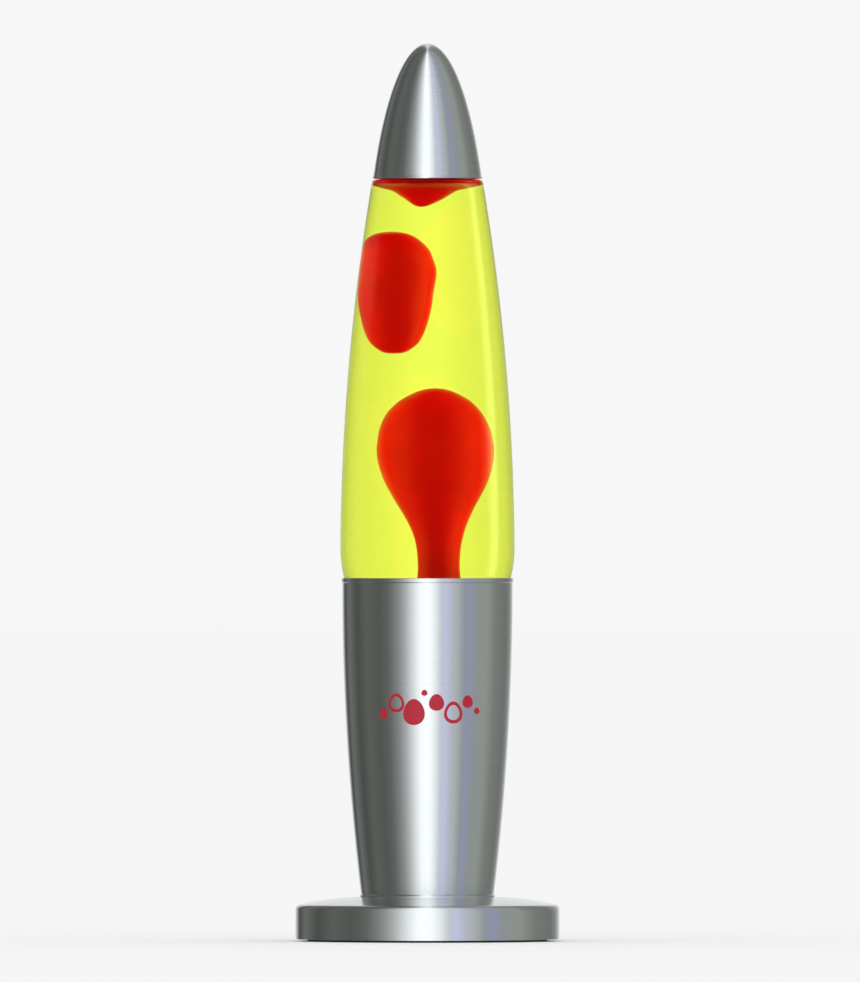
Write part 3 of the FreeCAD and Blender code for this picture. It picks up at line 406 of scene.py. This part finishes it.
def make_world():
    """White paper all round; metal, glass and wax each see lights that the camera never sees.

    What a ray sees depends on the surface it left: the glass from outside, the metal, the
    wax's gloss and the inside of the glass, or the wax's own colour.
    """
    world = bpy.data.worlds.new("studio")
    bpy.context.scene.world = world
    world.use_nodes = True
    nodes = world.node_tree.nodes
    links = world.node_tree.links
    rays = nodes.new("ShaderNodeLightPath")
    mirrored = math_node(nodes, links, "GREATER_THAN", rays.outputs["Glossy Depth"], 0.5)
    scattered = math_node(nodes, links, "GREATER_THAN", rays.outputs["Diffuse Depth"], 0.5)
    through = math_node(nodes, links, "GREATER_THAN", rays.outputs["Transmission Depth"], 0.5)
    emerged = rays.outputs["Is Transmission Ray"]
    outside = math_node(nodes, links, "SUBTRACT", 1.0, through)
    brushed = math_node(nodes, links, "SUBTRACT", 1.0, rays.outputs["Is Singular Ray"])
    from_glass = math_node(nodes, links, "MULTIPLY", mirrored, outside)
    from_metal = math_node(nodes, links, "MULTIPLY", from_glass, brushed)
    from_gloss = math_node(nodes, links, "MULTIPLY", mirrored, emerged)
    from_wax = math_node(nodes, links, "MULTIPLY", scattered, emerged)

    paper = nodes["Background"]
    paper.inputs["Color"].default_value = (1.0, 1.0, 1.0, 1.0)
    level = math_node(nodes, links, "MULTIPLY_ADD", scattered, 1.0 - PAPER, PAPER)
    direction = compass(nodes, links)
    extra = ramp(nodes, links, direction, round_stops(BACKLIGHT, 1.0))
    behind = math_node(nodes, links, "MULTIPLY_ADD", through, extra, 1.0)
    links.new(math_node(nodes, links, "MULTIPLY", level, behind), paper.inputs["Strength"])
    shown = paper.outputs[0]
    for share, table in ((from_glass, ROUND_GLASS), (from_metal, ROUND_METAL),
                         (from_gloss, ROUND_GLOSS), (from_wax, ROUND_WAX)):
        choose = nodes.new("ShaderNodeMixShader")
        links.new(share, choose.inputs[0])
        links.new(shown, choose.inputs[1])
        links.new(studio_round(nodes, links, direction, table), choose.inputs[2])
        shown = choose.outputs[0]
    links.new(shown, nodes["World Output"].inputs["Surface"])


def make_stage():
    """Pale floor, soft light all round and the camera."""
    scene = bpy.context.scene
    scene.view_settings.view_transform = "Standard"
    bpy.ops.mesh.primitive_plane_add(size=FLOOR_SIZE, location=(0, 0, 0))
    floor = bpy.context.object
    floor.name = "floor"
    material, _, _, shader = new_material("floor_paper")
    setting(shader, Base_Color=(PAPER, PAPER, PAPER, 1.0), Roughness=1.0, Specular_IOR_Level=0.0)
    floor.data.materials.append(material)
    floor.visible_glossy = False
    floor.visible_transmission = False
    make_world()

    camera = bpy.data.cameras.new("camera")
    camera.lens = LENS
    camera.sensor_fit = "VERTICAL"
    camera.sensor_height = SENSOR_HEIGHT
    camera.clip_end = FAR_CLIP
    distance = LENS / SENSOR_HEIGHT * VIEW_HEIGHT
    holder = bpy.data.objects.new("camera", camera)
    holder.location = (AIM[0], -distance, AIM[1])
    holder.rotation_euler = (math.radians(90), 0, 0)
    scene.collection.objects.link(holder)
    scene.camera = holder


make_stage()

glass = clear_glass("bottle_glass")
liquid = yellow_liquid()
wax = red_wax()
steel = grained("zinc_plated_steel", (0.55, 0.56, 0.55), (0.68, 0.69, 0.68), 0.34, 900.0, 0.00001,
                Metallic=1.0)
brass = grained("contact_brass", (0.72, 0.52, 0.22), (0.83, 0.64, 0.32), 0.30, 700.0, 0.000008,
                Metallic=1.0)
rubber = grained("black_rubber", (0.018, 0.018, 0.019), (0.032, 0.032, 0.033), 0.62, 2200.0,
                 0.00004)
FINISHES = {
    "spun_aluminium": spun_aluminium(),
    "clear_glass": clear_glass("stem_glass"),
    "bulb_front": reflector_bulb(),
    "coil_steel": grained("coil_wire", (0.50, 0.50, 0.49), (0.66, 0.66, 0.65), 0.25, 800.0,
                          0.00001, Metallic=1.0),
    "crown_steel": grained("lacquered_tinplate", (0.66, 0.66, 0.67), (0.78, 0.78, 0.79), 0.24,
                           500.0, 0.000008, Metallic=1.0, Coat_Weight=0.4, Coat_Roughness=0.1),
    "liner_plastic": grained("soft_liner", (0.78, 0.78, 0.74), (0.86, 0.86, 0.83), 0.55, 900.0,
                             0.00001, Subsurface_Weight=0.1, Subsurface_Scale=0.001),
    "ballast_iron": grained("cast_iron", (0.045, 0.045, 0.048), (0.13, 0.13, 0.135), 0.68, 1100.0,
                            0.00012, Metallic=0.6),
    "cover_plastic": grained("moulded_cover", (0.024, 0.024, 0.025), (0.042, 0.042, 0.043), 0.5,
                             2600.0, 0.00004),
    "zinc_steel": steel,
    "foot_rubber": rubber,
    "holder_plastic": grained("phenolic_moulding", (0.020, 0.016, 0.013), (0.045, 0.036, 0.028),
                              0.30, 1500.0, 0.00001, Coat_Weight=0.3, Coat_Roughness=0.2),
    "holder_ceramic": grained("glazed_steatite", (0.74, 0.71, 0.64), (0.85, 0.83, 0.77), 0.35,
                              600.0, 0.00002, Coat_Weight=0.5, Coat_Roughness=0.1),
    "contact_brass": brass,
    "solder": grained("solder", (0.50, 0.50, 0.51), (0.68, 0.68, 0.69), 0.38, 1500.0, 0.00005,
                      Metallic=1.0),
    "black_glass": grained("vitrite", (0.006, 0.006, 0.012), (0.016, 0.015, 0.030), 0.12, 900.0,
                           0.00001),
    "filament_wire": grained("tungsten", (0.28, 0.28, 0.30), (0.42, 0.42, 0.44), 0.35, 2500.0,
                             0.000005, Metallic=1.0),
    "yellow_liquid": liquid,
    "red_wax": wax,
}
for entry in frame["record"]["subparts"]:
    slots = NODES[entry["node"]].data.materials
    slots.clear()
    slots.append(FINISHES[entry["material_slot"]])


# ---------------------------------------------------------------- bottle, liquid and wax

# The bottle's outside, from its floor to its mouth, in mm: radii, heights and rounding radii.
BOTTLE_WALL = 2.5
SHOULDER_WALL = 1.2
FLOOR_HEIGHT = 111.0
FLOOR_RADIUS = 22.6
HEEL_ROUND = 4.0
HEEL_RADIUS = FLOOR_RADIUS + HEEL_ROUND
HEEL_HEIGHT = FLOOR_HEIGHT + HEEL_ROUND
SEAT = (33.61, 146.45)
WIDEST = (34.45, 156.0)
WIDEST_ROUND = 55.0
SHOULDER = (21.93, 300.4)
SIDE_ROUND = 912.0
SHOULDER_ROUND = 1.6
NECK_BASE = (20.4, 301.1)
NECK_ROUND = 9.0
NECK_RADIUS = 11.6
NECK_HEIGHT = 309.5
FINISH_LOW = 316.5
FINISH_HEIGHT = 318.5
FINISH_RADIUS = 13.0
LIP_ROUND = 1.5
MOUTH_HEIGHT = 324.0
BORE_RADIUS = 8.6
BORE_FOOT = 310.5

OVERLAP = 0.5  # mm that the liquid reaches into the glass, so that no two surfaces coincide
LIQUID_TOP = 0.306  # m
BOTTLE_STEPS = 48  # points on each arc of the bottle's outline


def bottle_outside():
    """The bottle's outer corners, in mm, from the foot to the mouth."""
    return [
        (0.0, FLOOR_HEIGHT), (FLOOR_RADIUS, FLOOR_HEIGHT), (HEEL_RADIUS, HEEL_HEIGHT, HEEL_ROUND),
        SEAT, (*WIDEST, WIDEST_ROUND), (*SHOULDER, SIDE_ROUND), (*NECK_BASE, SHOULDER_ROUND),
        (NECK_RADIUS, NECK_HEIGHT, -NECK_ROUND), (NECK_RADIUS, FINISH_LOW),
        (FINISH_RADIUS, FINISH_HEIGHT), (FINISH_RADIUS, MOUTH_HEIGHT - LIP_ROUND),
        (FINISH_RADIUS - LIP_ROUND, MOUTH_HEIGHT, LIP_ROUND), (BORE_RADIUS, MOUTH_HEIGHT),
    ]


def bottle_inside(grow):
    """The bottle's inner corners from the floor to the neck, moved outwards by grow."""
    wall = BOTTLE_WALL - grow
    thin = SHOULDER_WALL - grow
    return [
        (0.0, FLOOR_HEIGHT + wall), (FLOOR_RADIUS, FLOOR_HEIGHT + wall),
        (HEEL_RADIUS - wall, HEEL_HEIGHT, HEEL_ROUND - wall),
        (SEAT[0] - wall, SEAT[1]), (WIDEST[0] - wall, WIDEST[1], WIDEST_ROUND - wall),
        (SHOULDER[0] - thin, SHOULDER[1] - thin, SIDE_ROUND - wall),
        (NECK_BASE[0] - thin / 2, NECK_BASE[1] - thin, thin),
        (BORE_RADIUS + grow, BORE_FOOT - grow, -(NECK_ROUND + wall)),
    ]


def make_bottle():
    """Blown glass bottle whose wall thins at the shoulder."""
    inner = outline(bottle_inside(0.0) + [(BORE_RADIUS, MOUTH_HEIGHT)], BOTTLE_STEPS)
    points = outline(bottle_outside(), BOTTLE_STEPS) + inner[::-1]
    piece = lathe("bottle", points, closed=False)
    piece.data.materials.append(glass)
    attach(piece, "globe")
    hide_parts("globe_bottle")


def make_liquid():
    """The liquid fills the bottle up to the wax under the cap."""
    points = outline(bottle_inside(OVERLAP), BOTTLE_STEPS)
    points = [point for point in points if point[1] < LIQUID_TOP]
    points.append((0.0, points[-1][1]))
    piece = lathe("liquid_body", points)
    piece.data.materials.append(liquid)
    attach(piece, "globe")
    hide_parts("liquid")


def between(table, height):
    """Read a table of (height in mm, value in mm) at a height in metres; returns metres."""
    level = height / MM
    if level <= table[0][0]:
        return table[0][1] * MM
    for (low, first), (high, last) in zip(table, table[1:]):
        if level <= high:
            share = (level - low) / (high - low)
            share = share * share * (3 - 2 * share)
            return (first + (last - first) * share) * MM
    return table[-1][1] * MM


WAX_SEGMENTS = 128


def make_wax(name, knots, lean_x, lean_y, body, node):
    """One wax shape: a smooth outline of (radius, height) whose centre wanders with height."""
    piece = lathe(name, curve_through(knots), WAX_SEGMENTS,
                  sway=lambda z: (between(lean_x, z), between(lean_y, z)))
    piece.data.materials.append(wax)
    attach(piece, body)
    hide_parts(node)


# Each wax shape: its outline as (radius, height), and where its centre lies across and in
# depth as (height, place); all in mm.
COLUMN_KNOTS = [
    (0.0, 113.9), (22.0, 113.9), (23.4, 116.4), (24.6, 120.4), (22.0, 124.0), (14.5, 127.4),
    (9.2, 133.0), (7.2, 139.0), (6.5, 144.4), (6.2, 150.4), (6.7, 156.5), (8.0, 162.6),
    (10.2, 168.8), (12.9, 175.0), (15.4, 181.2), (17.0, 187.5), (17.6, 193.7), (16.9, 200.2),
    (16.1, 203.4), (14.9, 206.7), (13.1, 209.9), (10.2, 213.3), (6.0, 216.3), (2.8, 217.6),
    (0.0, 218.0),
]
COLUMN_ACROSS = [(116, 0.0), (140, 3.4), (157, 3.3), (176, 2.7), (195, 2.4), (208, 2.1),
                 (219, 2.3)]
COLUMN_DEPTH = [(116, 0.0), (145, 0.6), (190, -0.6), (219, 0.0)]
BLOB_KNOTS = [
    (0.0, 231.6), (2.8, 231.9), (5.1, 233.4), (7.4, 236.0), (9.1, 240.1), (10.4, 245.1),
    (11.4, 250.1), (12.0, 254.9), (12.25, 259.4), (12.25, 263.9), (11.95, 267.6), (11.35, 270.9),
    (10.3, 273.8), (8.4, 276.4), (5.7, 278.4), (3.0, 279.3), (0.0, 279.6),
]
BLOB_ACROSS = [(231, -9.9), (245, -10.0), (255, -10.25), (264, -9.55), (271, -10.25),
               (276, -10.9), (280, -10.8)]
BLOB_DEPTH = [(231, 0.5), (255, -0.5), (280, 0.4)]
GATHERED_KNOTS = [
    (0.0, 289.3), (1.7, 289.7), (3.6, 290.9), (5.3, 292.2), (6.9, 293.5), (8.4, 294.8),
    (10.1, 296.1), (12.2, 297.3), (14.6, 298.3), (17.4, 299.0), (20.2, 299.35), (20.9, 299.6),
    (19.0, 300.6), (15.0, 302.4), (10.0, 305.0), (0.0, 305.6),
]
GATHERED_ACROSS = [(289, -1.8), (293, -1.0), (298, -0.8), (301, 0.0)]
GATHERED_DEPTH = [(289, 0.0)]


# ---------------------------------------------------------------- printed bubbles on the body

SHELL_FOOT = (26.3, 18.6)
SHELL_BELLY = (33.7, 141.7, 1009.0)
INK_PROUD = 0.03  # mm that the print stands above the metal
INK_DEEP = 0.10  # mm that its underside lies below the metal's surface
LOOP_STEPS = 56  # points round a bubble
EGG_SHAPE = 0.16  # share by which a bubble narrows upwards
FILLED_SHARES = [0.02, 0.35, 0.7]  # loops inside a filled bubble, as shares of its size
# Each bubble: place across and height, radius, stretch upwards and width of its ring, or 0
# when it is filled; in mm.
BUBBLES = [
    (-18.2, 90.2, 1.9, 1.10, 0.0), (-12.6, 94.4, 3.3, 1.15, 1.1), (-5.4, 90.8, 4.3, 1.20, 0.0),
    (3.6, 94.6, 3.0, 1.10, 0.0), (10.4, 90.6, 3.8, 1.15, 1.2), (16.6, 94.9, 2.3, 1.10, 0.0),
    (20.9, 91.2, 1.3, 1.00, 0.0), (-1.2, 98.4, 1.2, 1.00, 0.0),
]


def ink():
    """Screen-printed crimson ink with a slightly uneven film."""
    return grained("crimson_ink", (0.42, 0.003, 0.020), (0.54, 0.006, 0.030), 0.36, 1800.0,
                   0.000004)


def shell_radius(height):
    """The body's outer radius at a height, both in metres."""
    points = outline([SHELL_FOOT, SHELL_BELLY], 60)
    for (first, low), (last, high) in zip(points, points[1:]):
        if height <= high:
            return first + (last - first) * (height - low) / (high - low)
    return points[-1][0]


def on_shell(across, height, proud):
    """A point wrapped on to the front of the body; all in mm, returned in metres."""
    radius = shell_radius(height * MM)
    angle = across * MM / radius
    reach = radius + proud * MM
    return Vector((reach * math.sin(angle), -reach * math.cos(angle), height * MM))


def bubble_loop(mesh_work, bubble, share, proud):
    """One closed loop of a bubble, at a share of its size."""
    across, height, radius, stretch, _ = bubble
    loop = []
    for step in range(LOOP_STEPS):
        turn = 2 * math.pi * step / LOOP_STEPS
        side = math.cos(turn) * radius * share
        up = math.sin(turn) * radius * share * stretch
        narrowing = 1.0 - EGG_SHAPE * math.sin(turn)
        loop.append(mesh_work.verts.new(on_shell(across + side * narrowing, height + up, proud)))
    return loop


def make_print():
    """A row of plain bubbles, printed on the front of the body; no part of the CAD."""
    mesh_work = bmesh.new()
    for bubble in BUBBLES:
        ring = bubble[4]
        shares = [1.0 - ring / bubble[2]] if ring else FILLED_SHARES
        loops = [bubble_loop(mesh_work, bubble, share, INK_PROUD) for share in shares + [1.0]]
        backs = [bubble_loop(mesh_work, bubble, share, -INK_DEEP) for share in shares + [1.0]]
        walls = list(zip(loops, loops[1:])) + list(zip(backs[1:], backs))
        walls.append((loops[-1], backs[-1]))
        if ring:
            walls.append((backs[0], loops[0]))
        else:
            mesh_work.faces.new(loops[0])
            mesh_work.faces.new(backs[0][::-1])
        for inner, outer in walls:
            for step, corner in enumerate(inner):
                after = (step + 1) % len(inner)
                mesh_work.faces.new((corner, outer[step], outer[after], inner[after]))
    bmesh.ops.recalc_face_normals(mesh_work, faces=mesh_work.faces)
    piece = finish_mesh("printed_bubbles", mesh_work)
    piece.data.materials.append(ink())
    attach(piece, "base")


# ---------------------------------------------------------------- bulb cap, feet and screws

PITCH = 2.82 * MM
THREAD_DEPTH = 0.42 * MM
THREAD_START = 1.6 * MM  # above the cap's lower edge
THREAD_END = 2.6 * MM  # below its upper edge
CAP_WALL = 0.3 * MM
TAPER_HEIGHT = 1.0 * MM  # the lower edge is drawn in over this height
TAPER_SLOPE = 0.75
CAP_STEPS = 96  # steps round the cap, and up it

FOOT_CIRCLE = 42.0 * MM
FOOT_COUNT = 4
SCREW_CIRCLE = 31.0 * MM
SCREW_COUNT = 3
SCREW_START = -90.0  # degrees
THREAD_TURNS = 8
RECESS = (2.6, 0.55, 1.2)  # mm: length, width and height of each bar of the cross


def make_bulb_cap():
    """Edison screw cap: a rolled thread round a thin brass tube."""
    low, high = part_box("bulb_screw_cap")
    radius = high[0]
    start = low[2] + THREAD_START
    end = high[2] - THREAD_END

    def thread(level, angle):
        fade = max(0.0, min((level - start) / PITCH, (end - level) / PITCH, 1.0))
        wave = 0.5 - 0.5 * math.cos(2 * math.pi * (level / PITCH) - angle)
        return radius - THREAD_DEPTH * fade * wave

    mesh_work = bmesh.new()
    rings = []
    heights = [low[2] + (high[2] - low[2]) * step / CAP_STEPS for step in range(CAP_STEPS + 1)]
    for side, levels in ((0.0, heights), (CAP_WALL, heights[::-1])):
        for level in levels:
            taper = max(0.0, TAPER_HEIGHT - (level - low[2])) * TAPER_SLOPE
            ring = []
            for step in range(CAP_STEPS):
                angle = 2 * math.pi * step / CAP_STEPS
                reach = thread(level, angle) - side - taper
                ring.append(mesh_work.verts.new(
                    (reach * math.cos(angle), reach * math.sin(angle), level)))
            rings.append(ring)
    for lower, upper in zip(rings, rings[1:] + rings[:1]):
        for step in range(CAP_STEPS):
            after = (step + 1) % CAP_STEPS
            mesh_work.faces.new((lower[step], lower[after], upper[after], upper[step]))
    bmesh.ops.recalc_face_normals(mesh_work, faces=mesh_work.faces)
    piece = finish_mesh("bulb_thread_cap", mesh_work)
    piece.data.materials.append(brass)
    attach(piece, "bulb")
    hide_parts("bulb_screw_cap")


def spun_copies(name, points, circle, count, first_angle, segments=64):
    """Copies of one turned profile, evenly spaced on a circle round the axis, as one object."""
    mesh_work = bmesh.new()
    for index in range(count):
        angle = math.radians(first_angle) + 2 * math.pi * index / count
        centre = (circle * math.cos(angle), circle * math.sin(angle))
        single = lathe("one_copy", points, segments, centre=centre)
        mesh_work.from_mesh(single.data)
        mesh = single.data
        bpy.data.objects.remove(single)
        bpy.data.meshes.remove(mesh)
    return finish_mesh(name, mesh_work, 40.0)


def make_feet():
    """Four rubber pads with rounded edges and a shallow dish in the middle."""
    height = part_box("rubber_feet")[1][2] / MM
    corners = [(0.0, 0.5), (2.4, 0.35), (3.2, 0.0), (4.7, 0.0), (5.5, 0.8, 0.8),
               (5.5, height), (0.0, height)]
    piece = spun_copies("foot_pads", outline(corners, 8), FOOT_CIRCLE, FOOT_COUNT, 0.0)
    piece.data.materials.append(rubber)
    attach(piece, "base")
    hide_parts("rubber_feet")


def make_cover_screws():
    """Three pan-head screws with a cross recess and a threaded shank."""
    low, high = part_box("cover_screws")
    bottom = low[2] / MM
    top = high[2] / MM
    corners = [(0.0, bottom), (1.9, bottom), (2.9, bottom + 0.8, 1.1), (2.9, bottom + 1.0),
               (1.5, bottom + 1.0)]
    for turn in range(THREAD_TURNS):
        level = bottom + 1.3 + turn * (top - bottom - 2.3) / THREAD_TURNS
        corners += [(1.5, level), (1.2, level + 0.28)]
    corners += [(1.2, top - 0.8), (0.5, top), (0.0, top)]
    piece = spun_copies("cross_head_screws", outline(corners, 8), SCREW_CIRCLE, SCREW_COUNT,
                        SCREW_START)
    carve_crosses(piece, bottom * MM)
    piece.data.materials.append(steel)
    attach(piece, "base")
    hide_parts("cover_screws")


def carve_crosses(piece, level):
    """Sink a cross recess into each screw head from below."""
    mesh_work = bmesh.new()
    length, narrow, tall = RECESS
    for index in range(SCREW_COUNT):
        angle = math.radians(SCREW_START) + 2 * math.pi * index / SCREW_COUNT
        for width, breadth in ((length, narrow), (narrow, length)):
            block = bmesh.ops.create_cube(mesh_work, size=1.0)["verts"]
            for vert in block:
                vert.co.x = vert.co.x * width * MM + SCREW_CIRCLE * math.cos(angle)
                vert.co.y = vert.co.y * breadth * MM + SCREW_CIRCLE * math.sin(angle)
                vert.co.z = vert.co.z * tall * MM + level
    tool = finish_mesh("cross_tool", mesh_work)
    cut = piece.modifiers.new("recess", "BOOLEAN")
    cut.operation = "DIFFERENCE"
    cut.solver = "EXACT"
    cut.use_self = True
    cut.object = tool
    bpy.context.view_layer.update()
    carved = piece.evaluated_get(bpy.context.evaluated_depsgraph_get())
    mesh = bpy.data.meshes.new_from_object(carved)
    piece.modifiers.clear()
    plain = piece.data
    piece.data = mesh
    bpy.data.meshes.remove(plain)
    bpy.data.objects.remove(tool)


make_bottle()
make_liquid()
make_wax("wax_rising", COLUMN_KNOTS, COLUMN_ACROSS, COLUMN_DEPTH, "globe", "wax_column")
make_wax("wax_drifting", BLOB_KNOTS, BLOB_ACROSS, BLOB_DEPTH, "blob", "wax_blob")
make_wax("wax_gathered", GATHERED_KNOTS, GATHERED_ACROSS, GATHERED_DEPTH, "globe", "wax_top_pool")
make_print()
make_bulb_cap()
make_feet()
make_cover_screws()
